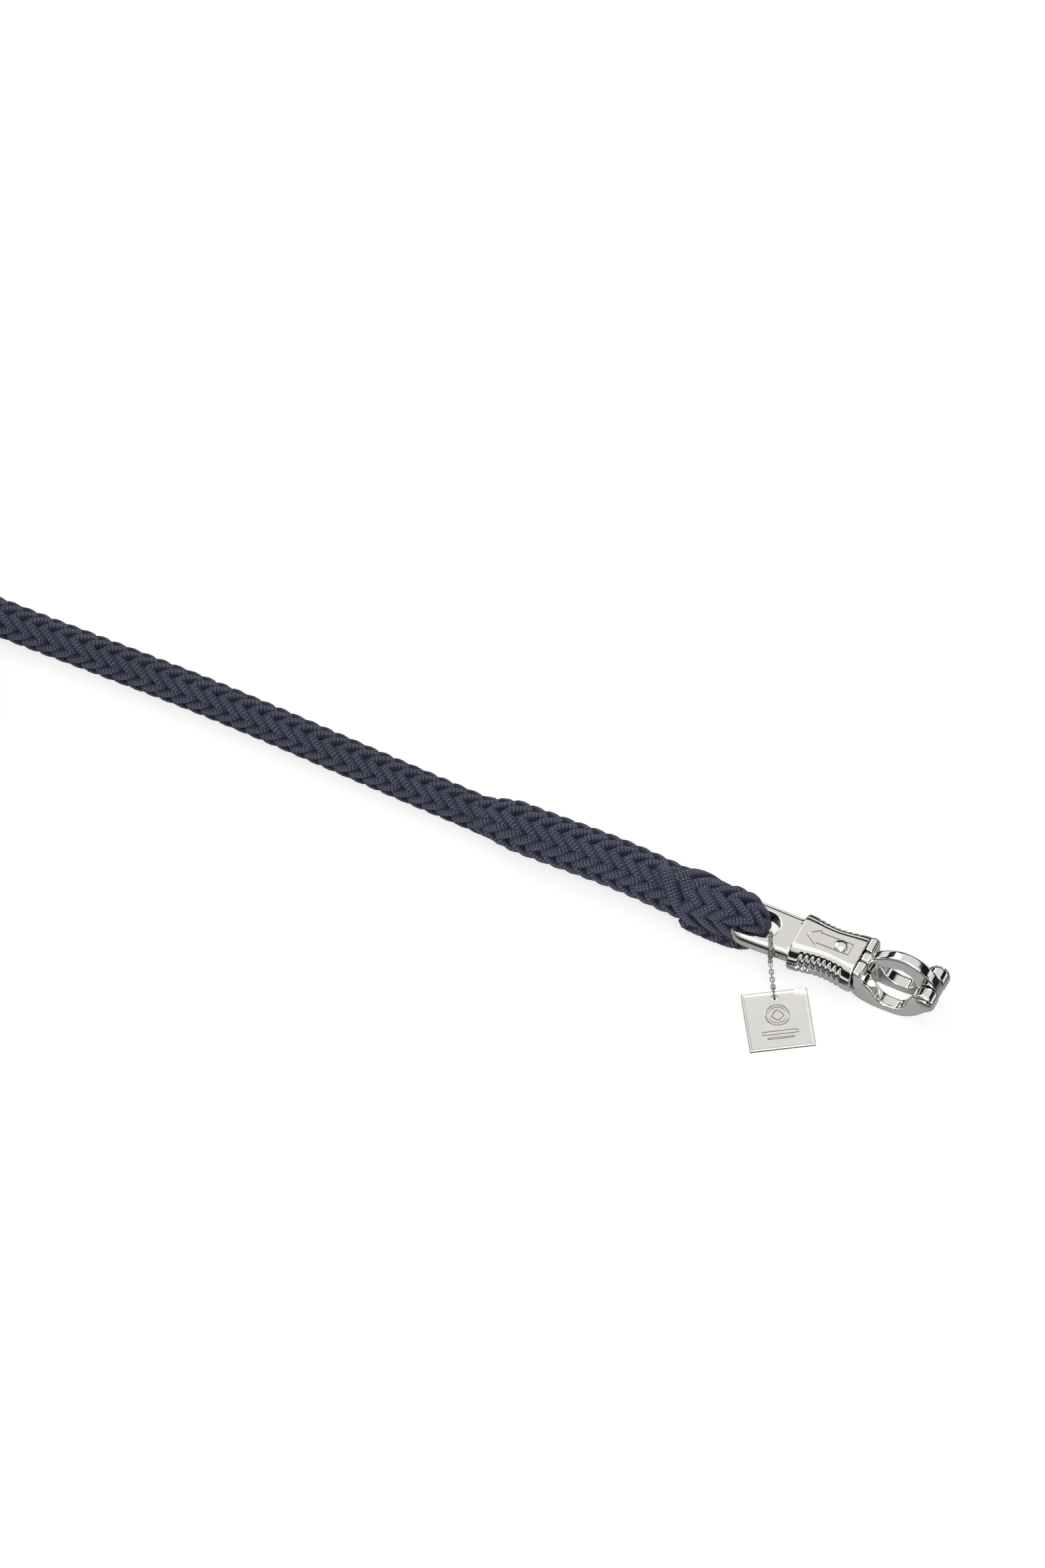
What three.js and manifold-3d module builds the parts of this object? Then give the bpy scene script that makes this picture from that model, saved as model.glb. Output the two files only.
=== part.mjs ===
// A lead rope for a horse: a braided rope, spliced round the eye of a quick-release panic hook,
// with a square metal tag on a short chain. Millimetres, +Z up.
// The hook lies along X: its tip points to +X, and the rope leaves its eye towards -X.
// Every piece is modelled about the centre of the release sleeve, on the shank's mid-plane,
// and the whole group is then set down with the bottom centre of the hook and tag at the origin.

import * as THREE from 'three';
import { mergeVertices } from 'three/addons/utils/BufferGeometryUtils.js';
import Module from 'manifold-3d';

const wasm = await Module();
wasm.setup();

// ---------- driving dimensions ----------

const GAP = 0.3; // between pieces that touch
const TABLE_Z = -17.5; // the surface that everything lies on

const SHANK_THICK = 8.2;
const SHANK_Z = -2.9; // mid-plane of the shank, below the middle of the sleeve
const SHANK_HALF_W = 10; // inside the sleeve
const SHOULDER_X = -16.4; // step that the sleeve covers
const SHOULDER_HALF_W = 11.7;
const EYE_X = -34.4; // centre of the eye's round front
const EYE_R = 7.6;
const EYE_OUTER_HALF_W = 12.3;
const EYE_REAR_HOLE_X = -46.2; // inner edge of the eye's rear bar
const EYE_REAR_X = -50.7; // outer edge of the eye's rear bar
const BAR_X = (EYE_REAR_HOLE_X + EYE_REAR_X) / 2;

const SLOT_REAR_X = -13.5;
const SLOT_FRONT_X = 8.2;
const SLOT_HALF_W = 2.3;

const YOKE_REAR_X = 17;
const YOKE_FRONT_X = 21.4;
const YOKE_HALF_W = 12;
const YOKE_TOP_Z = 6.5;
const ARM_INNER_Y = 3.5;
const ARM_OUTER_Y = 10.4;
const TAIL_POCKET_Z = -2.4; // floor of the gap that holds the bow's tail
const LUG_R = 5.8;

const PIN_CLEARANCE = 0.08; // radial
const HINGE_X = 53.3;
const HINGE_R = 2;
const HINGE_HEAD_R = 4.5;
const HINGE_HEAD_H = 1.5;

const BOW_HALF_W = 3;
const BOW_HUB_R = 5.4;

const SLEEVE_HALF_L = 16.5;
const SLEEVE_HALF_W = 15.1;
const SLEEVE_WAIST = 2; // how far the sides curve in
const SLEEVE_TOP_Z = 6.75;
const SLEEVE_BOTTOM_Z = -9;
const RIB_COUNT = 7;
const RIB_PITCH = 2.9;
const RIB_DEPTH = 0.6;
const ARROW_CLEAR_R = 4.1; // the arrow stops short of the rivet's head
const ARROW_H = 0.4;
const SLEEVE_TRAVEL = 8;
const REAR_MOUTH_HALF_W = 12.4; // clears the shoulders when the sleeve is back
const SECTION_SIDES = 24; // corners of the sleeve's cross-section
const SECTION_SQUARENESS = 3.6;
const SECTION_FLATTENING = 1.02; // so that the top and bottom are flat
const RIVET_X = 5.6;
const RIVET_R = 1.7;
const RIVET_HEAD_R = 3.5;
const RIVET_HEAD_H = 1.3;

const SPRING_R = 1.4;
const SPRING_WIRE_R = 0.25;
const SPRING_TURNS = 7;

const LOOP_HALF_W = 6.6;
const LOOP_FRONT_X = -31;
const LOOP_OPENING_R = 5.4;
const SPLICE_R = 12.8;
const ROPE_R = 9.25;
const HANK_HALF_RUN = 110; // half the length of the hank's runs
const HANK_FOLD_R = 55.5; // centreline of its end loops
const HANK_WAIST_Y = 9.9; // centreline of the runs under the tie
const HANK_TIE_T = 2;
const HANK_TIE_HALF_L = 14;

const TAG_SIDE = 31.8;
const TAG_THICK = 1.6;
const TAG_FLOOR_T = 1; // inside the raised rim
const TAG_RIM_W = 1.1;
const TAG_HOLE_R = 1.7;
const TAG_HOLE_V = 3.6; // hole centre, from the top edge
const TAG_TURN = THREE.MathUtils.degToRad(33);
const RING_R = 2.9;
const RING_WIRE_R = 0.4;
const LINK_HALF_L = 1.35; // centreline
const LINK_HALF_W = 0.95;
const LINK_WIRE_R = 0.3;
const HANGING_LINKS = 7;
const RIM_LINKS = 24;

// ---------- materials ----------

const metal = (color, roughness) => new THREE.MeshStandardMaterial({ color, roughness, metalness: 1 });
const cloth = (color) => new THREE.MeshStandardMaterial({ color, roughness: 0.95, metalness: 0 });
const CHROME = { color: 0xd8d6d2, roughness: 0.12 };
const STEEL = { color: 0xa9a7a3, roughness: 0.3 };
const ROPE_NAVY = 0x34374b;
const TIE_GREY = 0x23242c;

// ---------- helpers ----------

const group = new THREE.Group();

function addMesh(name, geometry, material) {
  const mesh = new THREE.Mesh(geometry, material);
  mesh.name = name;
  group.add(mesh);
  return mesh;
}

function toManifold(geometry) {
  const bare = geometry.index ? geometry.toNonIndexed() : geometry.clone();
  bare.deleteAttribute('normal');
  bare.deleteAttribute('uv');
  const merged = mergeVertices(bare, 1e-4);
  const vertProperties = new Float32Array(merged.attributes.position.array);
  const whole = [];
  for (let i = 0; i < merged.index.count; i += 3) {
    const [a, b, c] = merged.index.array.slice(i, i + 3);
    if (a !== b && b !== c && c !== a) whole.push(a, b, c);
  }
  return new wasm.Manifold(new wasm.Mesh({ numProp: 3, vertProperties, triVerts: new Uint32Array(whole) }));
}

function fromManifold(solid) {
  const { vertProperties, triVerts, numProp } = solid.getMesh();
  const geometry = new THREE.BufferGeometry();
  const position = new Float32Array((vertProperties.length / numProp) * 3);
  for (let i = 0; i < position.length / 3; i++) {
    for (let k = 0; k < 3; k++) position[i * 3 + k] = vertProperties[i * numProp + k];
  }
  geometry.setAttribute('position', new THREE.BufferAttribute(position, 3));
  geometry.setIndex(new THREE.BufferAttribute(new Uint32Array(triVerts), 1));
  geometry.computeVertexNormals();
  return geometry;
}

// The points of an outline, without those that repeat where an arc meets a line.
function withoutRepeats(points) {
  return points.filter((p, i) => p.distanceTo(points[(i + 1) % points.length]) > 1e-3);
}

// A shape drawn in XY, centred on Z = 0, with its edges rounded by `round`.
function plate(shape, thick, round = 0, segments = 6) {
  const drawn = shape.extractPoints(segments);
  const clean = new THREE.Shape(withoutRepeats(drawn.shape));
  clean.holes = drawn.holes.map((hole) => new THREE.Path(withoutRepeats(hole)));
  const geometry = new THREE.ExtrudeGeometry(clean, {
    depth: thick - 2 * round,
    bevelEnabled: round > 0,
    bevelThickness: round,
    bevelSize: round,
    bevelOffset: -round,
    bevelSegments: 2,
  });
  return geometry.translate(0, 0, -(thick - 2 * round) / 2);
}

// The same, drawn in XZ and centred on Y = 0.
function standing(shape, thick, round = 0, segments = 6) {
  return plate(shape, thick, round, segments).rotateX(Math.PI / 2);
}

const box = (x0, x1, y0, y1, z0, z1) =>
  new THREE.BoxGeometry(x1 - x0, y1 - y0, z1 - z0).translate((x0 + x1) / 2, (y0 + y1) / 2, (z0 + z1) / 2);

const rod = (r, length, sides = 20) => new THREE.CylinderGeometry(r, r, length, sides);

// A pin along Y with a domed head on both ends.
function rivet(shaftR, headR, headH, gripHalf) {
  const dome = [];
  for (let i = 0; i <= 4; i++) {
    const a = (i / 4) * (Math.PI / 2);
    dome.push(new THREE.Vector2(headR * Math.cos(a), gripHalf + headH * (0.3 + 0.7 * Math.sin(a))));
  }
  const upper = [new THREE.Vector2(shaftR, gripHalf), new THREE.Vector2(headR, gripHalf), ...dome];
  const lower = upper.map((p) => new THREE.Vector2(p.x, -p.y)).reverse();
  return closeLathe([...lower, ...upper], 20);
}

// A LatheGeometry whose profile starts and ends on the axis, with the collapsed triangles removed.
function closeLathe(profile, segments) {
  const onAxis = profile.map((p) => new THREE.Vector2(Math.abs(p.x) < 1e-6 ? 0 : p.x, p.y));
  return fromManifold(toManifold(new THREE.LatheGeometry(onAxis, segments)));
}

// A round section swept along a curve: closed when the curve is closed.
function sweep(curve, radiusY, radiusX, sides, steps) {
  const section = new THREE.Shape();
  section.absellipse(0, 0, radiusX, radiusY, 0, 2 * Math.PI, false);
  const points = section.getPoints(sides);
  points.pop();
  return new THREE.ExtrudeGeometry(new THREE.Shape(points), { steps, extrudePath: curve });
}

// ---------- hook frame: eye, shank, yoke, arms and lugs in one casting ----------

function shankShape() {
  const corner = 9.5;
  const s = new THREE.Shape();
  s.moveTo(YOKE_FRONT_X - 1, -SHANK_HALF_W);
  s.lineTo(YOKE_FRONT_X - 1, SHANK_HALF_W);
  s.lineTo(SHOULDER_X, SHANK_HALF_W);
  s.lineTo(SHOULDER_X, SHOULDER_HALF_W);
  s.lineTo(EYE_X, EYE_OUTER_HALF_W);
  s.lineTo(EYE_REAR_X + corner, EYE_OUTER_HALF_W);
  s.absarc(EYE_REAR_X + corner, EYE_OUTER_HALF_W - corner, corner, Math.PI / 2, Math.PI, false);
  s.absarc(EYE_REAR_X + corner, corner - EYE_OUTER_HALF_W, corner, Math.PI, 1.5 * Math.PI, false);
  s.lineTo(EYE_X, -EYE_OUTER_HALF_W);
  s.lineTo(SHOULDER_X, -SHOULDER_HALF_W);
  s.lineTo(SHOULDER_X, -SHANK_HALF_W);
  s.closePath();
  return s;
}

// The eye is round at the front; its rear bar is straight, so the rope can turn on it.
function eyeShape() {
  const r = 3.5;
  const s = new THREE.Shape();
  s.moveTo(EYE_REAR_HOLE_X + r, -EYE_R);
  s.absarc(EYE_X, 0, EYE_R, -Math.PI / 2, Math.PI / 2, false);
  s.absarc(EYE_REAR_HOLE_X + r, EYE_R - r, r, Math.PI / 2, Math.PI, false);
  s.absarc(EYE_REAR_HOLE_X + r, r - EYE_R, r, Math.PI, 1.5 * Math.PI, false);
  return s;
}

function slotShape() {
  const s = new THREE.Shape();
  s.absarc(SLOT_FRONT_X - SLOT_HALF_W, 0, SLOT_HALF_W, -Math.PI / 2, Math.PI / 2, false);
  s.absarc(SLOT_REAR_X + SLOT_HALF_W, 0, SLOT_HALF_W, Math.PI / 2, 1.5 * Math.PI, false);
  return s;
}

// Both arms and the yoke, seen from the side. The inner edge is the jaw that holds the halter ring.
function armShape() {
  const s = new THREE.Shape();
  s.moveTo(YOKE_REAR_X, 4);
  s.lineTo(YOKE_REAR_X, -9.2);
  s.quadraticCurveTo(15, -10.2, 15.4, -12.2);
  s.quadraticCurveTo(18.6, -16, 26.2, -17.1);
  s.bezierCurveTo(28.5, -17.5, 31, -17.5, 33, -17.5);
  s.lineTo(38.2, -17.5);
  s.bezierCurveTo(44, -17, 50, -13.2, 55.2, -LUG_R + 0.3);
  s.absarc(HINGE_X, 0, LUG_R, -1.1, Math.PI - 0.35, false);
  s.lineTo(45.2, -4.6);
  s.quadraticCurveTo(42.6, -11.6, 38.6, -13);
  s.lineTo(33.6, -13);
  s.quadraticCurveTo(29, -11.4, 27.2, -8);
  s.quadraticCurveTo(24.6, -2.6, YOKE_FRONT_X, -0.6);
  s.lineTo(YOKE_FRONT_X, 4);
  s.closePath();
  return s;
}

function shoulderShape() {
  const r = 2.4;
  const s = new THREE.Shape();
  s.moveTo(YOKE_REAR_X, -5.5);
  s.lineTo(YOKE_FRONT_X, -5.5);
  s.lineTo(YOKE_FRONT_X, YOKE_TOP_Z - r);
  s.absarc(YOKE_FRONT_X - r, YOKE_TOP_Z - r, r, 0, Math.PI / 2, false);
  s.lineTo(YOKE_REAR_X, YOKE_TOP_Z);
  s.closePath();
  return s;
}

function hookFrame() {
  const shank = toManifold(plate(shankShape(), SHANK_THICK, 2.6, 8).translate(0, 0, SHANK_Z));
  const arms = toManifold(standing(armShape(), 2 * ARM_OUTER_Y, 1.2, 6));
  const shoulders = toManifold(standing(shoulderShape(), 2 * YOKE_HALF_W, 1.1, 4));
  const gapShape = box(YOKE_REAR_X - GAP, HINGE_X + 20, -ARM_INNER_Y, ARM_INNER_Y, TAIL_POCKET_Z, 20);
  const belowGap = box(YOKE_FRONT_X + 2, HINGE_X + 20, -ARM_INNER_Y, ARM_INNER_Y, -30, 0);
  const pinHole = rod(HINGE_R + PIN_CLEARANCE, 40).translate(HINGE_X, 0, 0);
  return fromManifold(
    shank
      .subtract(toManifold(plate(eyeShape(), 40, 0, 10)))
      .subtract(toManifold(plate(slotShape(), 40, 0, 6)))
      .add(arms)
      .add(shoulders)
      .subtract(toManifold(gapShape))
      .subtract(toManifold(belowGap))
      .subtract(toManifold(pinHole)),
  );
}

// ---------- bow: the hinged upper half ----------

function bowShape() {
  const s = new THREE.Shape();
  s.moveTo(YOKE_REAR_X + GAP, -1.7);
  s.lineTo(YOKE_REAR_X + GAP, 6.4);
  s.lineTo(21.2, 6.4);
  s.quadraticCurveTo(23, 10.6, 28.7, 14);
  s.quadraticCurveTo(34, 17.6, 39.5, 17.7);
  s.quadraticCurveTo(45.2, 17.6, 50.2, 13.8);
  s.quadraticCurveTo(54.6, 10.4, HINGE_X + 4.6, 3.2);
  s.absarc(HINGE_X, 0, BOW_HUB_R, 0.55, -2.2, true);
  s.quadraticCurveTo(46.6, -1.2, 46.2, 3);
  s.quadraticCurveTo(44.2, 8.6, 38.7, 9);
  s.quadraticCurveTo(32.4, 8.8, 28.3, 6.2);
  s.quadraticCurveTo(25, 3, 24, -1.7);
  s.closePath();
  return s;
}

function bow() {
  const solid = toManifold(standing(bowShape(), 2 * BOW_HALF_W, 0.9, 6));
  const pinHole = rod(HINGE_R + PIN_CLEARANCE, 20).translate(HINGE_X, 0, 0);
  return fromManifold(solid.subtract(toManifold(pinHole)));
}

// ---------- release sleeve ----------

const sleeveSide = (x) => SLEEVE_HALF_W - SLEEVE_WAIST * Math.cos((x / SLEEVE_HALF_L) * (Math.PI / 2)) ** 2;

// Half the sleeve's width along its length: a waist, with grip ribs along the middle.
function sleeveStations() {
  const start = -(RIB_COUNT / 2) * RIB_PITCH;
  const stations = [-SLEEVE_HALF_L, -14.2, -12].map((x) => [x, sleeveSide(x)]);
  for (let i = 0; i <= RIB_COUNT; i++) {
    const groove = start + i * RIB_PITCH;
    stations.push([groove, sleeveSide(groove) - RIB_DEPTH]);
    if (i === RIB_COUNT) break;
    for (const share of [0.25, 0.75]) {
      const x = groove + RIB_PITCH * share;
      stations.push([x, sleeveSide(x)]);
    }
  }
  return [...stations, ...[12, 14.2, SLEEVE_HALF_L].map((x) => [x, sleeveSide(x)])];
}

// A rounded box whose flat top and bottom keep their width where the sides curve in.
function sleeveBody() {
  const sides = SECTION_SIDES;
  const power = 2 / SECTION_SQUARENESS;
  const middle = (SLEEVE_TOP_Z + SLEEVE_BOTTOM_Z) / 2;
  const half = (SLEEVE_TOP_Z - SLEEVE_BOTTOM_Z) / 2;
  const stations = sleeveStations();
  const position = [];
  for (const [x, halfW] of stations) {
    for (let k = 0; k < sides; k++) {
      const a = (2 * Math.PI * (k + 0.5)) / sides;
      const y = halfW * Math.sign(Math.cos(a)) * Math.abs(Math.cos(a)) ** power;
      const rise = Math.min(1, SECTION_FLATTENING * Math.abs(Math.sin(a)) ** power);
      const z = middle + half * Math.sign(Math.sin(a)) * rise;
      position.push(x, y, z);
    }
  }
  const index = [];
  for (let i = 0; i + 1 < stations.length; i++) {
    for (let k = 0; k < sides; k++) {
      const [a, b] = [i * sides + k, i * sides + ((k + 1) % sides)];
      index.push(a, b, a + sides, b, b + sides, a + sides);
    }
  }
  const last = (stations.length - 1) * sides;
  for (let k = 1; k + 1 < sides; k++) {
    index.push(0, k + 1, k);
    index.push(last, last + k, last + k + 1);
  }
  const geometry = new THREE.BufferGeometry();
  geometry.setAttribute('position', new THREE.Float32BufferAttribute(position, 3));
  geometry.setIndex(index);
  return toManifold(geometry);
}

// Outline arrow that points to the rope: the way to pull.
function arrowShape() {
  const outline = (inset) => [
    [-12.9 + 1.5 * inset, 0],
    [-6 - 0.4 * inset, 5.1 - 1.9 * inset],
    [-6 - 0.4 * inset, 3.5 - inset],
    [11.2 - inset, 3.5 - inset],
    [11.2 - inset, inset - 3.5],
    [-6 - 0.4 * inset, inset - 3.5],
    [-6 - 0.4 * inset, 1.9 * inset - 5.1],
  ];
  const toVectors = (list) => list.map(([x, y]) => new THREE.Vector2(x, y));
  const s = new THREE.Shape(toVectors(outline(0)));
  s.holes.push(new THREE.Path(toVectors(outline(0.6)).reverse()));
  return s;
}

function releaseSleeve() {
  const [low, high] = [SHANK_Z - SHANK_THICK / 2 - GAP, SHANK_Z + SHANK_THICK / 2 + GAP];
  const tunnel = box(-20, 20, -SHANK_HALF_W - GAP, SHANK_HALF_W + GAP, low, high);
  const mouthEnd = SHOULDER_X + SLEEVE_TRAVEL + 2;
  const rearMouth = box(-20, mouthEnd, -REAR_MOUTH_HALF_W, REAR_MOUTH_HALF_W, low, high);
  const aboveRivet = rod(ARROW_CLEAR_R, 4).rotateX(Math.PI / 2).translate(RIVET_X, 0, SLEEVE_TOP_Z + 2);
  const arrow = toManifold(plate(arrowShape(), ARROW_H * 2).translate(0, 0, SLEEVE_TOP_Z));
  const rivetHole = rod(RIVET_R + PIN_CLEARANCE, 40).rotateX(Math.PI / 2).translate(RIVET_X, 0, 0);
  return fromManifold(
    sleeveBody()
      .add(arrow.subtract(toManifold(aboveRivet)))
      .subtract(toManifold(tunnel))
      .subtract(toManifold(rearMouth))
      .subtract(toManifold(rivetHole)),
  );
}

// ---------- sleeve spring ----------

class Helix extends THREE.Curve {
  constructor(x0, x1, radius, turns) {
    super();
    Object.assign(this, { x0, x1, radius, turns });
  }

  getPoint(t, target = new THREE.Vector3()) {
    const a = 2 * Math.PI * this.turns * t;
    const x = this.x0 + (this.x1 - this.x0) * t;
    return target.set(x, this.radius * Math.cos(a), SHANK_Z + this.radius * Math.sin(a));
  }
}

function sleeveSpring() {
  const inset = SPRING_WIRE_R + GAP;
  const rear = SLOT_REAR_X + inset + 0.3;
  const front = RIVET_X - RIVET_R - inset;
  const helix = new Helix(rear, front, SPRING_R, SPRING_TURNS);
  return sweep(helix, SPRING_WIRE_R, SPRING_WIRE_R, 6, SPRING_TURNS * 9);
}

// ---------- rope ----------

// The loop round the eye's rear bar: it passes down through the eye and back below the bar.
function ropeEye() {
  const s = new THREE.Shape();
  s.moveTo(-65, -16.6);
  s.quadraticCurveTo(-42, -19, -34.4, -10);
  s.quadraticCurveTo(LOOP_FRONT_X, -6, LOOP_FRONT_X, -2);
  s.quadraticCurveTo(LOOP_FRONT_X, 9.6, -46, 10.8);
  s.quadraticCurveTo(-58, 11, -65, 7.4);
  s.closePath();
  const opening = new THREE.Path();
  opening.absarc(BAR_X, SHANK_Z, LOOP_OPENING_R, 0, 2 * Math.PI, true);
  s.holes.push(opening);
  const plan = new THREE.Shape();
  plan.moveTo(-70, -LOOP_HALF_W);
  plan.absarc(LOOP_FRONT_X - LOOP_HALF_W, 0, LOOP_HALF_W, -Math.PI / 2, Math.PI / 2, false);
  plan.lineTo(-70, LOOP_HALF_W);
  const side = toManifold(standing(s, 2 * LOOP_HALF_W + 2, 0, 6));
  return fromManifold(side.intersect(toManifold(plate(plan, 60, 0, 8))));
}

const spliceZ = TABLE_Z + SPLICE_R;
const ropeZ = TABLE_Z + ROPE_R;

const SPLICE_ROUTE = [
  [-66.2, 2.8, spliceZ],
  [-81.5, 3.7, spliceZ],
  [-115, 5.8, spliceZ],
  [-156, 5.5, spliceZ],
  [-178, 6.2, spliceZ],
];

// The free rope, from the splice to the hank.
const ROPE_ROUTE = [
  [-178.3, 6.2],
  [-201, 7.2],
  [-233, 8.6],
  [-266, 10.2],
  [-305, 12.1],
  [-345, 13.4],
  [-397, 13.6],
  [-425, 13.5],
];
const HANK_LANE_Y = 13.5;
const HANK_X = -613;
const HANK_Y = HANK_LANE_Y - HANK_FOLD_R;
const HANK_LOW_Z = TABLE_Z + HANK_TIE_T + GAP;
const HANK_TOP_LAYER_Z = HANK_LOW_Z + 3 * ROPE_R;
const HANK_END_X = 45; // where the rope's last run ends, from the hank's middle
const ROPE_END_R = 9.6;

function tubeAlong(route, radius, sides, steps) {
  const curve = new THREE.CatmullRomCurve3(route.map((p) => new THREE.Vector3(...p)), false, 'centripetal');
  return sweep(curve, radius, radius, sides, steps);
}

// The hank's outline: round end loops, runs that close up under the tie, and a straight lead-in.
const laneY = (x) => {
  const s = Math.min(1, Math.abs(x) / HANK_HALF_RUN);
  return HANK_WAIST_Y + (HANK_FOLD_R - HANK_WAIST_Y) * 0.5 * (1 - Math.cos(Math.PI * s));
};

function ropeHank() {
  const outer = HANK_FOLD_R + ROPE_R;
  const leadIn = HANK_HALF_RUN + outer;
  const side = [];
  for (let i = -5; i <= 5; i++) {
    const x = (i / 5) * HANK_HALF_RUN;
    side.push([x, laneY(x) + ROPE_R]);
  }
  const s = new THREE.Shape();
  s.moveTo(-HANK_HALF_RUN, outer);
  for (const [x, y] of side.slice(1)) s.lineTo(x, y);
  s.lineTo(leadIn, outer);
  s.lineTo(leadIn, outer - 2 * ROPE_R);
  s.absarc(HANK_HALF_RUN, 0, outer, Math.asin(1 - (2 * ROPE_R) / outer), -Math.PI / 2, true);
  for (const [x, y] of side.slice(1)) s.lineTo(-x, -y);
  s.absarc(-HANK_HALF_RUN, 0, outer, -Math.PI / 2, Math.PI / 2, true);
  const stack = plate(s, 4 * ROPE_R, 0, 8).translate(HANK_X, HANK_Y, HANK_LOW_Z + 2 * ROPE_R);
  const notch = box(
    HANK_X + HANK_END_X,
    HANK_X + 300,
    HANK_Y - HANK_FOLD_R - 2 * ROPE_R,
    HANK_Y - HANK_WAIST_Y + 2,
    HANK_TOP_LAYER_Z - ROPE_END_R - GAP,
    HANK_TOP_LAYER_Z + 20,
  );
  return fromManifold(toManifold(stack).subtract(toManifold(notch)));
}

function ringShape(halfW, halfH, wall, round) {
  const outline = (path, w, h, r) => {
    path.moveTo(w - r, -h);
    path.quadraticCurveTo(w, -h, w, r - h);
    path.lineTo(w, h - r);
    path.quadraticCurveTo(w, h, w - r, h);
    path.lineTo(r - w, h);
    path.quadraticCurveTo(-w, h, -w, h - r);
    path.lineTo(-w, r - h);
    path.quadraticCurveTo(-w, -h, r - w, -h);
    path.closePath();
    return path;
  };
  const s = outline(new THREE.Shape(), halfW + wall, halfH + wall, round + wall);
  s.holes.push(outline(new THREE.Path(), halfW, halfH, round));
  return s;
}

function hankTie() {
  const halfH = 2 * ROPE_R + GAP;
  const halfW = laneY(HANK_TIE_HALF_L) + ROPE_R + 1;
  const shape = ringShape(halfW, halfH, HANK_TIE_T, 0.6);
  const z = TABLE_Z + HANK_TIE_T + halfH;
  return plate(shape, 2 * HANK_TIE_HALF_L, 0, 3)
    .rotateX(Math.PI / 2)
    .rotateZ(Math.PI / 2)
    .translate(HANK_X, HANK_Y, z);
}

// Whipped end of the rope: it lies on the hank, on the run that it continues.
function ropeEnd() {
  const profile = [
    [0, 0],
    [8.4, 0],
    [ROPE_END_R, 1.2],
    [ROPE_END_R, 24],
    [8.6, 26.6],
    [5, 28],
    [0, 28.4],
  ].map(([x, y]) => new THREE.Vector2(x, y));
  const slope = Math.atan2(laneY(HANK_END_X) - laneY(HANK_END_X + 20), 20);
  return closeLathe(profile, 12)
    .rotateZ(slope - Math.PI / 2)
    .translate(HANK_X + HANK_END_X + 5.6, HANK_Y - laneY(HANK_END_X + 5.6), HANK_TOP_LAYER_Z);
}

// ---------- tag, jump ring and chain ----------

const UP = new THREE.Vector3(0, 0, 1);
const TAG_U = new THREE.Vector3(Math.cos(TAG_TURN), Math.sin(TAG_TURN), 0); // along the tag's top edge
const TAG_V = new THREE.Vector3(TAG_U.y, -TAG_U.x, 0); // away from the chain
const RING_EDGE_V = 0.95; // ring centre, from the tag's top edge
const RING_CENTRE = new THREE.Vector3(-17.7, -25.3, TABLE_Z + RING_R + RING_WIRE_R);
const RIM_LOOP_CENTRE = new THREE.Vector3(-27.3, -8.75, SHANK_Z);
const RIM_LOOP_OUT = new THREE.Vector3(0.42, -0.907, 0).normalize(); // from the eye to the outside
const RIM_LOOP_HALF = 5.9;
const RIM_LOOP_SQUARENESS = 4;
const JUNCTION_ANGLE = -0.71; // where the hanging chain leaves the loop round the rim
const JUNCTION_SLACK = 0.2; // the last hanging link reaches this far past the junction

function tag() {
  const half = TAG_SIDE / 2;
  const v0 = -RING_EDGE_V;
  const square = (inset) => {
    const s = new THREE.Shape();
    s.moveTo(-half + inset, v0 + inset);
    s.lineTo(half - inset, v0 + inset);
    s.lineTo(half - inset, v0 + TAG_SIDE - inset);
    s.lineTo(-half + inset, v0 + TAG_SIDE - inset);
    s.closePath();
    return s;
  };
  const blank = toManifold(plate(square(0), TAG_THICK, 0.3, 1));
  const recess = plate(square(TAG_RIM_W), TAG_THICK).translate(0, 0, TAG_FLOOR_T);
  const hole = rod(TAG_HOLE_R, 10, 16).rotateX(Math.PI / 2).translate(0, TAG_HOLE_V - RING_EDGE_V, 0);
  const solid = fromManifold(blank.subtract(toManifold(recess)).subtract(toManifold(hole)));
  const reach = TAG_SIDE - RING_EDGE_V;
  const drop = RING_R + RING_WIRE_R - TAG_THICK / 2;
  const tilt = Math.asin(drop / reach);
  // local +Y runs away from the chain, local +X back along the top edge, so +Z stays up
  const place = new THREE.Matrix4().makeBasis(TAG_U.clone().negate(), TAG_V, UP);
  place.setPosition(RING_CENTRE);
  return solid.rotateX(-tilt).applyMatrix4(place);
}

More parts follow.
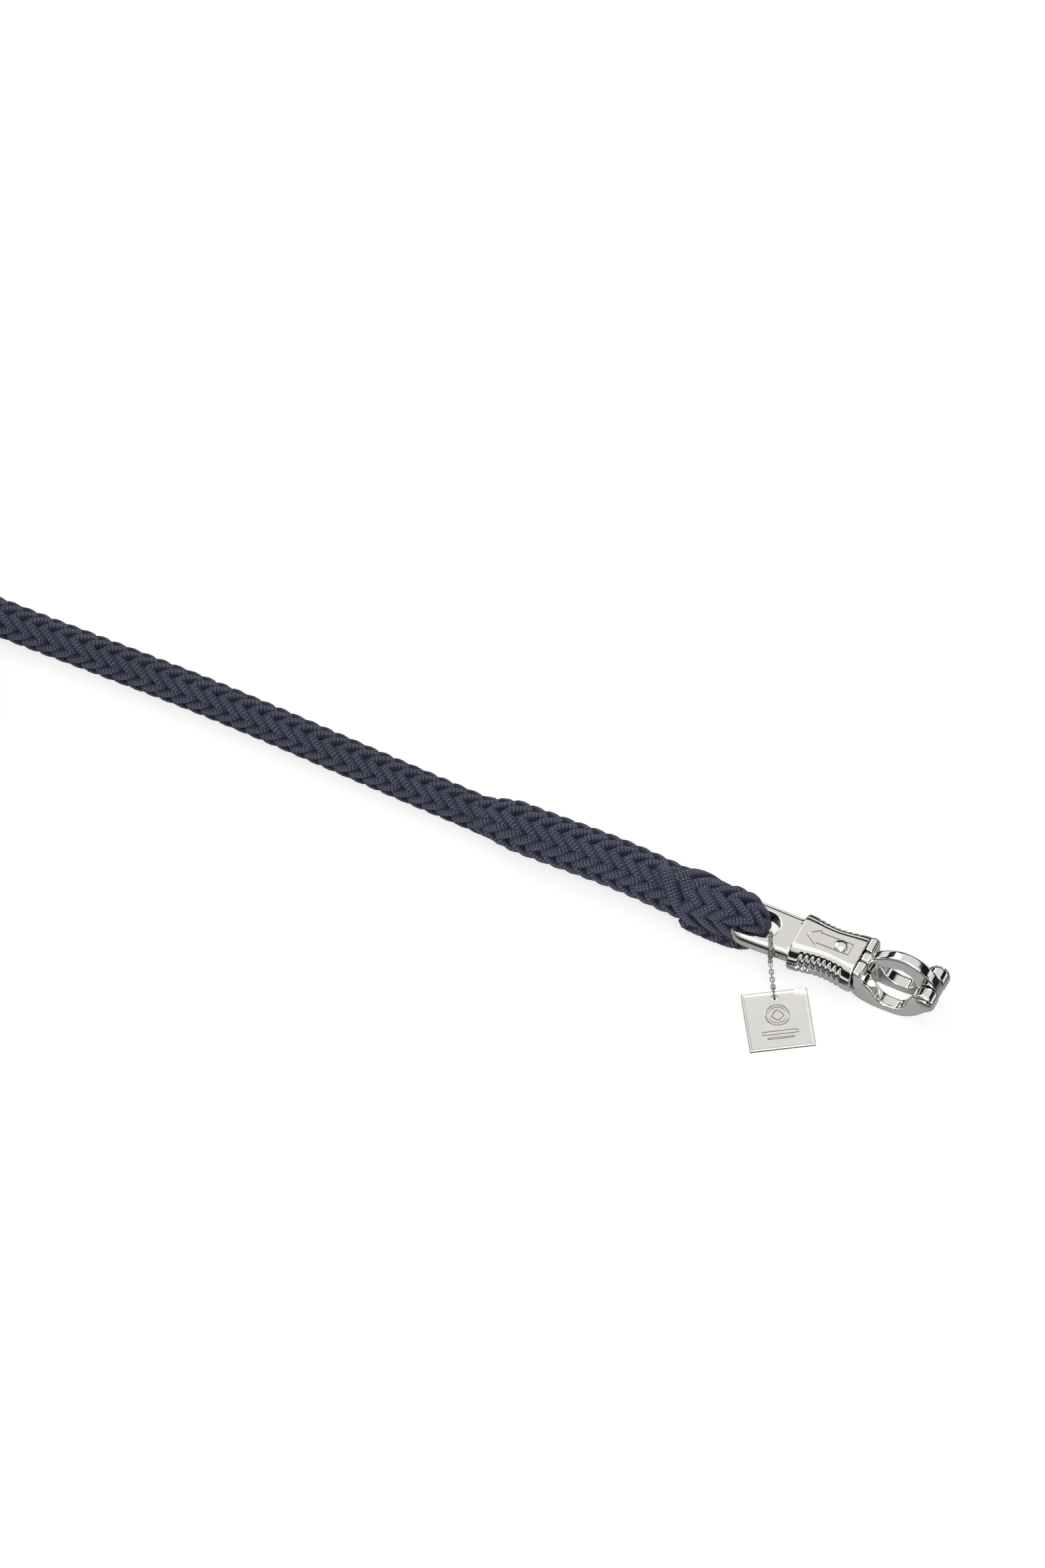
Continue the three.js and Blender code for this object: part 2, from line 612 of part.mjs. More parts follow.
// A ring or an oval link: its plane holds `along` and `across`.
function wireLoop(centre, along, across, halfL, halfW, wireR, sides, steps) {
  class Oval extends THREE.Curve {
    getPoint(t, target = new THREE.Vector3()) {
      const a = 2 * Math.PI * t;
      const straight = halfL - halfW;
      const shift = Math.sign(Math.cos(a)) * straight * Math.min(1, Math.abs(Math.cos(a)) * 3);
      const reach = Math.cos(a) * halfW + shift;
      return target.copy(centre).addScaledVector(along, reach).addScaledVector(across, halfW * Math.sin(a));
    }
  }
  const curve = new Oval();
  const rings = [];
  const normal = new THREE.Vector3().crossVectors(along, across).normalize();
  for (let i = 0; i < steps; i++) {
    const t = i / steps;
    const p = curve.getPoint(t);
    const tangent = curve.getPoint((i + 0.5) / steps).sub(curve.getPoint(((i - 0.5 + steps) / steps) % 1));
    const side = new THREE.Vector3().crossVectors(tangent.normalize(), normal);
    rings.push({ p, side });
  }
  const position = [];
  for (const { p, side } of rings) {
    for (let k = 0; k < sides; k++) {
      const a = (2 * Math.PI * k) / sides;
      const v = p.clone().addScaledVector(side, wireR * Math.cos(a));
      v.addScaledVector(normal, wireR * Math.sin(a));
      position.push(v.x, v.y, v.z);
    }
  }
  const index = [];
  for (let i = 0; i < steps; i++) {
    for (let k = 0; k < sides; k++) {
      const a = i * sides + k;
      const b = i * sides + ((k + 1) % sides);
      const c = ((i + 1) % steps) * sides + k;
      const d = ((i + 1) % steps) * sides + ((k + 1) % sides);
      index.push(a, c, b, b, c, d);
    }
  }
  const geometry = new THREE.BufferGeometry();
  geometry.setAttribute('position', new THREE.Float32BufferAttribute(position, 3));
  geometry.setIndex(index);
  geometry.computeVertexNormals();
  return geometry;
}

const link = (centre, along, across) =>
  wireLoop(centre, along, across, LINK_HALF_L, LINK_HALF_W, LINK_WIRE_R, 6, 14);

const padded = (i) => String(i + 1).padStart(2, '0');

// The loop of chain round the rim of the eye is a rounded square in a standing plane.
function rimLoopPoint(angle) {
  const [c, s] = [Math.cos(angle), Math.sin(angle)];
  const reach = RIM_LOOP_HALF / (Math.abs(c) ** RIM_LOOP_SQUARENESS + Math.abs(s) ** RIM_LOOP_SQUARENESS)
    ** (1 / RIM_LOOP_SQUARENESS);
  return RIM_LOOP_CENTRE.clone().addScaledVector(RIM_LOOP_OUT, reach * c).addScaledVector(UP, reach * s);
}

function addHangingChain() {
  addMesh(
    'tag_ring',
    wireLoop(RING_CENTRE, TAG_V, UP, RING_R, RING_R, RING_WIRE_R, 8, 20),
    metal(STEEL.color, STEEL.roughness),
  );
  const junction = rimLoopPoint(JUNCTION_ANGLE);
  const along = junction.clone().sub(RING_CENTRE);
  const first = RING_R - RING_WIRE_R - GAP - LINK_WIRE_R + LINK_HALF_L;
  const last = along.length() - LINK_HALF_L + JUNCTION_SLACK;
  along.normalize();
  const flat = new THREE.Vector3().crossVectors(along, UP).normalize();
  const upright = new THREE.Vector3().crossVectors(along, flat);
  for (let i = 0; i < HANGING_LINKS; i++) {
    const reach = first + ((last - first) * i) / (HANGING_LINKS - 1);
    const centre = RING_CENTRE.clone().addScaledVector(along, reach);
    const across = i % 2 ? upright : flat;
    addMesh(`chain_link_${padded(i)}`, link(centre, along, across), metal(STEEL.color, STEEL.roughness));
  }
}

function addRimChain() {
  const count = 3 * RIM_LINKS;
  const turn = (i) => JUNCTION_ANGLE + (2 * Math.PI * i) / count;
  const points = Array.from({ length: count }, (_, i) => rimLoopPoint(turn(i)));
  const path = new THREE.CatmullRomCurve3(points, true);
  path.arcLengthDivisions = 10 * count;
  const sideways = new THREE.Vector3().crossVectors(RIM_LOOP_OUT, UP).normalize();
  for (let i = 0; i < RIM_LINKS; i++) {
    const along = path.getTangentAt(i / RIM_LINKS);
    const inward = new THREE.Vector3().crossVectors(along, sideways);
    const across = i % 2 ? sideways : inward;
    const centre = path.getPointAt(i / RIM_LINKS);
    addMesh(`rim_link_${padded(i)}`, link(centre, along, across), metal(STEEL.color, STEEL.roughness));
  }
}

// ---------- assembly ----------

addMesh('hook_frame', hookFrame(), metal(CHROME.color, CHROME.roughness));
addMesh('bow', bow(), metal(CHROME.color, CHROME.roughness));
addMesh(
  'hinge_pin',
  rivet(HINGE_R, HINGE_HEAD_R, HINGE_HEAD_H, ARM_OUTER_Y + GAP).translate(HINGE_X, 0, 0),
  metal(STEEL.color, STEEL.roughness),
);
addMesh('release_sleeve', releaseSleeve(), metal(CHROME.color, CHROME.roughness));
addMesh(
  'sleeve_rivet',
  rivet(RIVET_R, RIVET_HEAD_R, RIVET_HEAD_H, (SLEEVE_TOP_Z - SLEEVE_BOTTOM_Z) / 2 + GAP)
    .rotateX(Math.PI / 2)
    .translate(RIVET_X, 0, (SLEEVE_TOP_Z + SLEEVE_BOTTOM_Z) / 2),
  metal(STEEL.color, STEEL.roughness),
);
addMesh('sleeve_spring', sleeveSpring(), metal(STEEL.color, STEEL.roughness));

addMesh('rope_eye', ropeEye(), cloth(ROPE_NAVY));
addMesh('rope_splice', tubeAlong(SPLICE_ROUTE, SPLICE_R, 12, 6), cloth(ROPE_NAVY));
const hankEntry = [HANK_X + HANK_HALF_RUN + HANK_FOLD_R + ROPE_R + GAP, HANK_LANE_Y];
addMesh(
  'rope_run',
  tubeAlong([...ROPE_ROUTE, hankEntry].map(([x, y]) => [x, y, ropeZ]), ROPE_R, 12, 8),
  cloth(ROPE_NAVY),
);
addMesh('rope_hank', ropeHank(), cloth(ROPE_NAVY));
addMesh('hank_tie', hankTie(), cloth(TIE_GREY));
addMesh('rope_end', ropeEnd(), cloth(TIE_GREY));

addMesh('tag', tag(), metal(CHROME.color, CHROME.roughness));
addHangingChain();
addRimChain();

// the origin: bottom centre of everything but the rope
const leadRope = new THREE.Group();
leadRope.add(group);
const bounds = new THREE.Box3();
for (const mesh of group.children) {
  if (!mesh.name.startsWith('rope_') && mesh.name !== 'hank_tie') bounds.expandByObject(mesh, true);
}
const middle = bounds.getCenter(new THREE.Vector3());
group.position.set(-middle.x, -middle.y, -bounds.min.z);

export default leadRope;
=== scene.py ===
import math

import bpy
import numpy as np
from mathutils import Matrix, Vector


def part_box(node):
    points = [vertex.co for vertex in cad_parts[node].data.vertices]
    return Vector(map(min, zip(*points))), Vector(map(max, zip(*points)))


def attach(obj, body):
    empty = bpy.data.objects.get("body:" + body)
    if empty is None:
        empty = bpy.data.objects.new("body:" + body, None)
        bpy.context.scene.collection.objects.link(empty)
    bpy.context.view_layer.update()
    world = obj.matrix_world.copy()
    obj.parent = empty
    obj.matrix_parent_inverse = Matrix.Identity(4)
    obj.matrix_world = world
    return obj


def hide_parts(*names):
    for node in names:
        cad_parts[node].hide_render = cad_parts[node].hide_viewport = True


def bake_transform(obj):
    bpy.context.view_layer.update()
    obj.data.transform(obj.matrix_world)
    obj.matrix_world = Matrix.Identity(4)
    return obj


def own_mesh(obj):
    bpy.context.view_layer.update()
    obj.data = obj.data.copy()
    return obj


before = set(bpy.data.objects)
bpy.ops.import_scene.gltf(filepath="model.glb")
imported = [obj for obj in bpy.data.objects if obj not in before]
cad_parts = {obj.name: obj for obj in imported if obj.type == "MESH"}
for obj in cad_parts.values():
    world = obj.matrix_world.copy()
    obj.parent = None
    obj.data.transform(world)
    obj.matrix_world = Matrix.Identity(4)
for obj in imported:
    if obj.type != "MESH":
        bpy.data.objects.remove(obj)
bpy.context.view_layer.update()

MM = 0.001


# ---------- the hook's own frame: its sleeve's middle, in millimetres ----------

sleeve_low, sleeve_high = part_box("release_sleeve")
ORIGIN_X = (sleeve_low[0] + sleeve_high[0]) / 2
ORIGIN_Y = (sleeve_low[1] + sleeve_high[1]) / 2
TABLE_Z = -17.5


def P(x, y, z):
    """A point of the hook's frame, in metres in the row frame."""
    return Vector((ORIGIN_X + x * MM, ORIGIN_Y + y * MM, (z - TABLE_Z) * MM))


def smoothstep(t):
    t = min(1.0, max(0.0, t))
    return t * t * (3 - 2 * t)


# ---------- camera, light and floor ----------

SENSOR_WIDTH = 36
VIEW_WIDTH_MM = 501
VIEW_CENTRE = P(-174.2, 25.9, 0)
CAMERA_DISTANCE = 15.0
CAMERA_BACK = Vector((0.2455, -0.5246, 0.8153)).normalized()
CAMERA_RIGHT = Vector((0.906, 0.424, 0.0)).normalized()


def make_camera():
    data = bpy.data.cameras.new("camera")
    data.sensor_fit = "HORIZONTAL"
    data.sensor_width = SENSOR_WIDTH
    data.lens = SENSOR_WIDTH * CAMERA_DISTANCE / (VIEW_WIDTH_MM * MM)
    data.clip_end = 100
    camera = bpy.data.objects.new("camera", data)
    bpy.context.scene.collection.objects.link(camera)
    up = CAMERA_BACK.cross(CAMERA_RIGHT)
    rotation = Matrix((CAMERA_RIGHT, up, CAMERA_BACK)).transposed()
    place = VIEW_CENTRE + CAMERA_BACK * CAMERA_DISTANCE
    camera.matrix_world = Matrix.Translation(place) @ rotation.to_4x4()
    bpy.context.scene.camera = camera


def area_light(name, place, target, size, power, color):
    data = bpy.data.lights.new(name, "AREA")
    data.shape = "RECTANGLE"
    data.size, data.size_y = size
    data.energy = power
    data.color = color
    lamp = bpy.data.objects.new(name, data)
    bpy.context.scene.collection.objects.link(lamp)
    lamp.location = place
    lamp.rotation_euler = (Vector(target) - Vector(place)).to_track_quat("-Z", "Y").to_euler()


BLACK = (0.012, 0.012, 0.015, 1)
GLOW = (1.25, 1.25, 1.25, 1)
SKY = (
    # height of a direction (1 is straight up), colour: a bright horizon, a black band and soft boxes
    (0.0, (0.80, 0.80, 0.80, 1)),
    (0.22, (1.0, 1.0, 0.99, 1)),
    (0.27, BLACK),
    (0.62, BLACK),
    (0.70, (0.86, 0.845, 0.81, 1)),
    (0.905, (0.88, 0.865, 0.83, 1)),
    (0.935, GLOW),
    (1.0, GLOW),
)
SKY_STRENGTH = 0.9
LIT_POINT = P(-150, 0, 0)
FLOOR_REACH = 6  # metres from the middle


def fill_ramp(ramp, stops):
    """Sets a colour ramp's stops, from (position, colour) pairs."""
    while len(ramp.elements) < len(stops):
        ramp.elements.new(0.5)
    for element, (position, color) in zip(ramp.elements, stops):
        element.position = position
        element.color = color


def make_world():
    world = bpy.data.worlds.new("studio")
    bpy.context.scene.world = world
    world.use_nodes = True
    nodes, links = world.node_tree.nodes, world.node_tree.links
    background = nodes["Background"]
    place = nodes.new("ShaderNodeTexCoord")
    split = nodes.new("ShaderNodeSeparateXYZ")
    ramp = nodes.new("ShaderNodeValToRGB")
    fill_ramp(ramp.color_ramp, SKY)
    links.new(place.outputs["Generated"], split.inputs[0])
    links.new(split.outputs["Z"], ramp.inputs["Fac"])
    links.new(ramp.outputs["Color"], background.inputs["Color"])
    background.inputs["Strength"].default_value = SKY_STRENGTH


def make_lights():
    key_place = LIT_POINT + Vector((0.9, -1.1, 1.7))
    area_light("key", key_place, LIT_POINT, (1.1, 1.1), power=26, color=(1.0, 0.985, 0.96))
    fill_place = LIT_POINT + Vector((-1.3, 0.6, 1.5))
    area_light("fill", fill_place, LIT_POINT, (1.4, 1.0), power=12, color=(0.96, 0.98, 1.0))


def floor_material():
    """White paper that glows a little. Its mirror image is a painted reflection: dim paper that darkens
    away from the hook.
    """
    material = bpy.data.materials.new("floor")
    material.use_nodes = True
    tree = material.node_tree
    shader = tree.nodes["Principled BSDF"]
    shader.inputs["Base Color"].default_value = (0.30, 0.30, 0.30, 1)
    shader.inputs["Emission Color"].default_value = (1, 1, 1, 1)
    shader.inputs["Emission Strength"].default_value = 0.72
    shader.inputs["Roughness"].default_value = 0.9
    shader.inputs["Specular IOR Level"].default_value = 0.1
    where = tree.nodes.new("ShaderNodeTexCoord")
    shift = tree.nodes.new("ShaderNodeMapping")
    shift.inputs["Location"].default_value = tuple(-P(0, 0, TABLE_Z))
    shift.inputs["Scale"].default_value = (0.35, 1.0, 1.0)
    tree.links.new(where.outputs["Object"], shift.inputs["Vector"])
    length = tree.nodes.new("ShaderNodeVectorMath")
    length.operation = "LENGTH"
    tree.links.new(shift.outputs["Vector"], length.inputs[0])
    # Painted reflection: glossy rays see dim paper that darkens away from the hook.
    reflection_shade_ramp = tree.nodes.new("ShaderNodeValToRGB")
    fill_ramp(reflection_shade_ramp.color_ramp, ((0.024, (0.40, 0.40, 0.41, 1)), (0.075, (0.015, 0.015, 0.018, 1))))
    tree.links.new(length.outputs["Value"], reflection_shade_ramp.inputs["Fac"])
    paper = tree.nodes.new("ShaderNodeBsdfDiffuse")
    tree.links.new(reflection_shade_ramp.outputs["Color"], paper.inputs["Color"])
    rays = tree.nodes.new("ShaderNodeLightPath")
    mix = tree.nodes.new("ShaderNodeMixShader")
    tree.links.new(rays.outputs["Is Glossy Ray"], mix.inputs["Fac"])
    tree.links.new(shader.outputs[0], mix.inputs[1])
    tree.links.new(paper.outputs[0], mix.inputs[2])
    tree.links.new(mix.outputs[0], tree.nodes["Material Output"].inputs["Surface"])
    return material


def make_floor():
    mesh = bpy.data.meshes.new("floor")
    signs = ((-1, -1), (1, -1), (1, 1), (-1, 1))
    corners = [(FLOOR_REACH * x, FLOOR_REACH * y, 0) for x, y in signs]
    mesh.from_pydata(corners, [], [(0, 1, 2, 3)])
    floor = bpy.data.objects.new("floor", mesh)
    bpy.context.scene.collection.objects.link(floor)
    mesh.materials.append(floor_material())


def make_stage():
    make_world()
    make_lights()
    make_floor()
    bpy.context.scene.view_settings.view_transform = "Standard"


# ---------- mesh helpers ----------


def add_object(name, mesh, body, material, smooth=True):
    obj = bpy.data.objects.new(name, mesh)
    bpy.context.scene.collection.objects.link(obj)
    mesh.materials.clear()
    mesh.materials.append(material)
    for polygon in mesh.polygons:
        polygon.use_smooth = smooth
    if body:
        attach(obj, body)
    return obj


class Builder:
    """Collects vertices, faces and a coordinate along and across each strand."""

    def __init__(self):
        self.points = []
        self.faces = []
        self.strand = []

    def rings(self, rings, closed=False, strand=None):
        """Joins rings of points, all of one count. An open tube gets one face on each end."""
        start = len(self.points)
        sides = len(rings[0])
        for i, ring in enumerate(rings):
            self.points.extend(ring)
            self.strand.extend(strand[i] if strand else [(0, 0, 0)] * sides)
        count = len(rings)
        for i in range(count if closed else count - 1):
            for k in range(sides):
                a = start + i * sides + k
                b = start + i * sides + (k + 1) % sides
                c = start + ((i + 1) % count) * sides + k
                d = start + ((i + 1) % count) * sides + (k + 1) % sides
                self.faces.append((a, b, d, c))
        if not closed:
            self.faces.append(tuple(start + k for k in reversed(range(sides))))
            last = start + (count - 1) * sides
            self.faces.append(tuple(last + k for k in range(sides)))

    def mesh(self, name):
        mesh = bpy.data.meshes.new(name)
        mesh.from_pydata([tuple(p) for p in self.points], [], self.faces)
        layer = mesh.attributes.new("strand", "FLOAT_VECTOR", "POINT")
        layer.data.foreach_set("vector", np.array(self.strand, np.float32).ravel())
        mesh.validate()
        mesh.update()
        return mesh


def catmull(points, step):
    """A smooth line through the points, sampled about every step millimetres."""
    p = [np.array(q, float) for q in points]
    p = [2 * p[0] - p[1], *p, 2 * p[-1] - p[-2]]
    line = []
    for i in range(1, len(p) - 2):
        count = max(2, int(np.linalg.norm(p[i + 1] - p[i]) / step))
        for k in range(count):
            t = k / count
            a = 2 * p[i]
            b = (p[i + 1] - p[i - 1]) * t
            c = (2 * p[i - 1] - 5 * p[i] + 4 * p[i + 1] - p[i + 2]) * t * t
            d = (3 * p[i] - p[i - 1] - 3 * p[i + 1] + p[i + 2]) * t**3
            line.append(0.5 * (a + b + c + d))
    line.append(p[-2])
    return np.array(line)


def resample(line, step):
    """The same line with even spacing. Returns its points and their distance along it."""
    gaps = np.linalg.norm(np.diff(line, axis=0), axis=1)
    along = np.concatenate([[0], np.cumsum(gaps)])
    count = max(2, int(round(along[-1] / step)) + 1)
    even = np.linspace(0, along[-1], count)
    return np.stack([np.interp(even, along, line[:, k]) for k in range(3)], axis=1), even


def unit(v):
    return v / np.maximum(np.linalg.norm(v, axis=-1, keepdims=True), 1e-12)


def tube_rings(line, outward, half_width, half_thick, sides, power=2.3):
    """Rings of a flattened tube. outward is each point's direction of small thickness."""
    tangent = unit(np.gradient(line, axis=0))
    normal = unit(outward - tangent * np.sum(outward * tangent, axis=1, keepdims=True))
    across = np.cross(tangent, normal)
    angles = 2 * np.pi * np.arange(sides) / sides
    c, s = np.cos(angles), np.sin(angles)
    c = np.sign(c) * np.abs(c) ** (2 / power)
    s = np.sign(s) * np.abs(s) ** (2 / power)
    w = np.broadcast_to(half_width, len(line))[:, None, None]
    t = np.broadcast_to(half_thick, len(line))[:, None, None]
    wide = across[:, None, :] * (c[None, :, None] * w)
    thick = normal[:, None, :] * (s[None, :, None] * t)
    return line[:, None, :] + wide + thick, angles


def add_strand(builder, line, outward, half_width, half_thick, sides=8, power=2.3):
    rings, angles = tube_rings(line, outward, half_width, half_thick, sides, power)
    gaps = np.linalg.norm(np.diff(line, axis=0), axis=1)
    along = np.concatenate([[0], np.cumsum(gaps)])
    strand = [[(s, math.cos(a), math.sin(a)) for a in angles] for s in along]
    builder.rings([[P(*q) for q in ring] for ring in rings], strand=strand)


WELD_REACH = 1e-6  # metres


def add_weld(obj):
    """Joins the corners that an exported CAD mesh keeps apart, face by face."""
    weld = obj.modifiers.new("weld", "WELD")
    weld.merge_threshold = WELD_REACH


def round_edges(obj, width, segments, sharper_than):
    """Rounds each edge that turns by more than the given degrees. width is in millimetres."""
    add_weld(obj)
    bevel = obj.modifiers.new("bevel", "BEVEL")
    bevel.width = width * MM
    bevel.segments = segments
    bevel.angle_limit = math.radians(sharper_than)
    bake(obj)


def smooth_copy(node, name, body, material, levels=1, swell=0.0):
    """A copy of a CAD node with its facets rounded off by subdivision."""
    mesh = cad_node(node).data.copy()
    obj = add_object(name, mesh, body, material)
    add_weld(obj)
    subdivide = obj.modifiers.new("subdivide", "SUBSURF")
    subdivide.levels = subdivide.render_levels = levels
    if swell:
        puff = obj.modifiers.new("swell", "DISPLACE")
        puff.mid_level = 0
        puff.strength = swell * MM
    bake(obj)
    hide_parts(node)
    return obj


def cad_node(node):
    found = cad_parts[node]
    return bpy.data.objects[found] if isinstance(found, str) else found


def bake(obj):
    """Applies the object's modifiers to its mesh."""
    bpy.context.view_layer.update()
    depsgraph = bpy.context.evaluated_depsgraph_get()
    mesh = bpy.data.meshes.new_from_object(obj.evaluated_get(depsgraph))
    for polygon in mesh.polygons:
        polygon.use_smooth = True
    obj.modifiers.clear()
    obj.data = mesh


def hard_copy(node, name, body, material, round_off):
    """A copy of a CAD node that keeps its flat faces and gets narrow rounded edges."""
    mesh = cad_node(node).data.copy()
    obj = add_object(name, mesh, body, material)
    round_edges(obj, round_off, segments=2, sharper_than=30)
    obj.data.set_sharp_from_angle(angle=math.radians(34))
    even = obj.modifiers.new("normals", "WEIGHTED_NORMAL")
    even.keep_sharp = True
    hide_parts(node)


def cast_copy(node, name, body, material, voxel, rounds):
    """A copy of a CAD node as a casting: even mesh, edges rounded and facets polished out."""
    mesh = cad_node(node).data.copy()
    obj = add_object(name, mesh, body, material)
    remesh = obj.modifiers.new("remesh", "REMESH")
    remesh.mode = "VOXEL"
    remesh.voxel_size = voxel * MM
    remesh.use_smooth_shade = True
    polish = obj.modifiers.new("polish", "SMOOTH")
    polish.factor = 0.5
    polish.iterations = rounds
    bake(obj)
    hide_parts(node)


# ---------- materials ----------


class Nodes:
    """Short calls for the nodes of one material."""

    def __init__(self, name):
        self.material = bpy.data.materials.new(name)
        self.material.use_nodes = True
        self.tree = self.material.node_tree
        self.shader = self.tree.nodes["Principled BSDF"]

    def add(self, kind, **values):
        node = self.tree.nodes.new(kind)
        for key, value in values.items():
            setattr(node, key, value)
        return node

    def link(self, a, b):
        self.tree.links.new(a, b)

    def math(self, operation, *inputs):
        node = self.add("ShaderNodeMath", operation=operation)
        for i, value in enumerate(inputs):
            if isinstance(value, (int, float)):
                node.inputs[i].default_value = value
            else:
                self.link(value, node.inputs[i])
        return node.outputs[0]

    def noise(self, scale, detail, source, roughness=0.5):
        node = self.add("ShaderNodeTexNoise")
        node.inputs["Scale"].default_value = scale
        node.inputs["Detail"].default_value = detail
        node.inputs["Roughness"].default_value = roughness
        self.link(source, node.inputs["Vector"])
        return node.outputs["Fac"]

    def place(self):
        return self.add("ShaderNodeTexCoord").outputs["Object"]

    def ramp(self, value, *stops):
        node = self.add("ShaderNodeValToRGB")
        fill_ramp(node.color_ramp, [(position, (*color, 1)) for position, color in stops])
        self.link(value, node.inputs["Fac"])
        return node.outputs["Color"]

    def bump(self, height, strength, distance):
        node = self.add("ShaderNodeBump")
        node.inputs["Strength"].default_value = strength
        node.inputs["Distance"].default_value = distance
        self.link(height, node.inputs["Height"])
        self.link(node.outputs["Normal"], self.shader.inputs["Normal"])


STITCH_LENGTH = 1.5
WALES_ROUND = 8  # columns of stitches round a strand


def knit_material(name, dark, middle, light):
    """Knitted strands: rows of V stitches with small dark holes between them. The holes, the stitches'
    low parts and each strand's sides are darkened as painted shade.
    """
    n = Nodes(name)
    strand = n.add("ShaderNodeAttribute", attribute_name="strand").outputs["Vector"]
    split = n.add("ShaderNodeSeparateXYZ")
    n.link(strand, split.inputs[0])
    along, c, s = split.outputs
    turn = n.math("ARCTAN2", s, c)
    wale = n.math("MULTIPLY", turn, WALES_ROUND / (2 * math.pi))
    across = n.math("PINGPONG", wale, 0.5)
    slant = n.math("MULTIPLY", across, 1.1)
    row = n.math("ADD", n.math("DIVIDE", along, STITCH_LENGTH), slant)
    stitch = n.math("SINE", n.math("MULTIPLY", row, 2 * math.pi))
    ridge = n.math("SINE", n.math("MULTIPLY", across, 2 * math.pi))
    relief = n.math("MULTIPLY", n.math("ADD", n.math("MULTIPLY", stitch, 0.5), 0.5), ridge)
    place = n.place()
    fuzz = n.noise(2600, 3, place, 0.7)
    patch = n.noise(70, 2, place)
    height = n.math("ADD", relief, n.math("MULTIPLY", fuzz, 0.5))
    # Painted shade: the colour follows the stitch relief, darker in the holes and low parts; the fuzz and
    # patch noise are the yarn's own tone.
    shade = n.math("ADD", n.math("MULTIPLY", relief, 0.62), n.math("MULTIPLY", fuzz, 0.30))
    shade = n.math("ADD", shade, n.math("MULTIPLY", patch, 0.12))
    # Painted shade in the crevices between strands: each strand's colour darkens towards its sides.
    crevice_shade_factor = n.math("SUBTRACT", 1.0, n.math("POWER", n.math("ABSOLUTE", c), 3.0))
    shade = n.math("MULTIPLY", shade, n.math("ADD", n.math("MULTIPLY", crevice_shade_factor, 0.9), 0.1))
    color = n.ramp(shade, (0.12, dark), (0.42, middle), (0.92, light))
    n.link(color, n.shader.inputs["Base Color"])
    n.shader.inputs["Roughness"].default_value = 0.86
    n.shader.inputs["Specular IOR Level"].default_value = 0.25
    n.shader.inputs["Sheen Weight"].default_value = 0.22
    n.shader.inputs["Sheen Roughness"].default_value = 0.5
    n.shader.inputs["Sheen Tint"].default_value = (0.55, 0.58, 0.75, 1)
    n.bump(height, 0.9, 0.0005)
    return n.material


def chrome_material(name, color, low, high):
    """Plated metal: fine polishing marks and a slight ripple of the plating."""
    n = Nodes(name)
    n.shader.inputs["Metallic"].default_value = 1
    n.shader.inputs["Base Color"].default_value = (*color, 1)
    place = n.place()
    cloud = n.noise(160, 3, place)
    marks = n.noise(2400, 2, place)
    span = n.add("ShaderNodeMapRange")
    wear = n.math("ADD", n.math("MULTIPLY", cloud, 0.7), n.math("MULTIPLY", marks, 0.3))
    n.link(wear, span.inputs["Value"])
    span.inputs["From Min"].default_value = 0.3
    span.inputs["From Max"].default_value = 0.7
    span.inputs["To Min"].default_value = low
    span.inputs["To Max"].default_value = high
    n.link(span.outputs["Result"], n.shader.inputs["Roughness"])
    n.bump(cloud, 0.02, 0.0003)
    return n.material


def core_material():
    n = Nodes("rope_core")
    color = n.ramp(n.noise(900, 2, n.place()), (0.3, (0.006, 0.007, 0.012)), (0.8, (0.014, 0.016, 0.027)))
    n.link(color, n.shader.inputs["Base Color"])
    n.shader.inputs["Roughness"].default_value = 1
    n.shader.inputs["Specular IOR Level"].default_value = 0.05
    return n.material


WEBBING_RIB = 0.0014  # metres from rib to rib


def webbing_material():
    """Flat woven band: fine ribs along it."""
    n = Nodes("webbing")
    place = n.place()
    split = n.add("ShaderNodeSeparateXYZ")
    n.link(place, split.inputs[0])
    ribs = n.math("SINE", n.math("MULTIPLY", split.outputs["X"], 2 * math.pi / WEBBING_RIB))
    fuzz = n.noise(1800, 3, place)
    height = n.math("ADD", n.math("MULTIPLY", ribs, 0.5), fuzz)
    color = n.ramp(height, (0.2, (0.006, 0.006, 0.009)), (1.0, (0.03, 0.031, 0.038)))
    n.link(color, n.shader.inputs["Base Color"])
    n.shader.inputs["Roughness"].default_value = 0.8
    n.bump(height, 0.6, 0.0003)
    return n.material


KNIT = knit_material("navy_knit", (0.006, 0.007, 0.017), (0.044, 0.047, 0.083), (0.210, 0.215, 0.310))
CORE = core_material()
WEBBING = webbing_material()
CHROME = chrome_material("chrome", (0.86, 0.85, 0.83), 0.04, 0.12)
STEEL = chrome_material("steel", (0.42, 0.41, 0.40), 0.08, 0.18)
TAG_METAL = chrome_material("tag_metal", (0.84, 0.83, 0.81), 0.10, 0.20)
# A darker copy of the chrome for the raised arrow and ornament: painted shade standing in for the dark
# reflections on their edges.
SHADED_RELIEF_METAL = chrome_material("shaded_relief_metal", (0.52, 0.51, 0.50), 0.10, 0.20)


# ---------- rope ----------

ROPE_R = 9.25
ROPE_Z = TABLE_Z + ROPE_R
SPLICE_R = 12.8
ROPE_ROUTE = [
    (-178.3, 6.2),
    (-201, 7.2),
    (-233, 8.6),
    (-266, 10.2),
    (-305, 12.1),
    (-345, 13.4),
    (-397, 13.6),
    (-425, 13.5),
]
HANK_X, HANK_Y = -613, -42
HANK_HALF_RUN = 110
HANK_FOLD_R = 55.5
HANK_WAIST_Y = 9.9
HANK_LOW_Z = TABLE_Z + 2.3 + ROPE_R
HANK_HIGH_Z = HANK_LOW_Z + 2 * ROPE_R
HANK_END_X = 45


def lane_y(x):
    s = min(1.0, abs(x) / HANK_HALF_RUN)
    return HANK_WAIST_Y + (HANK_FOLD_R - HANK_WAIST_Y) * 0.5 * (1 - math.cos(math.pi * s))


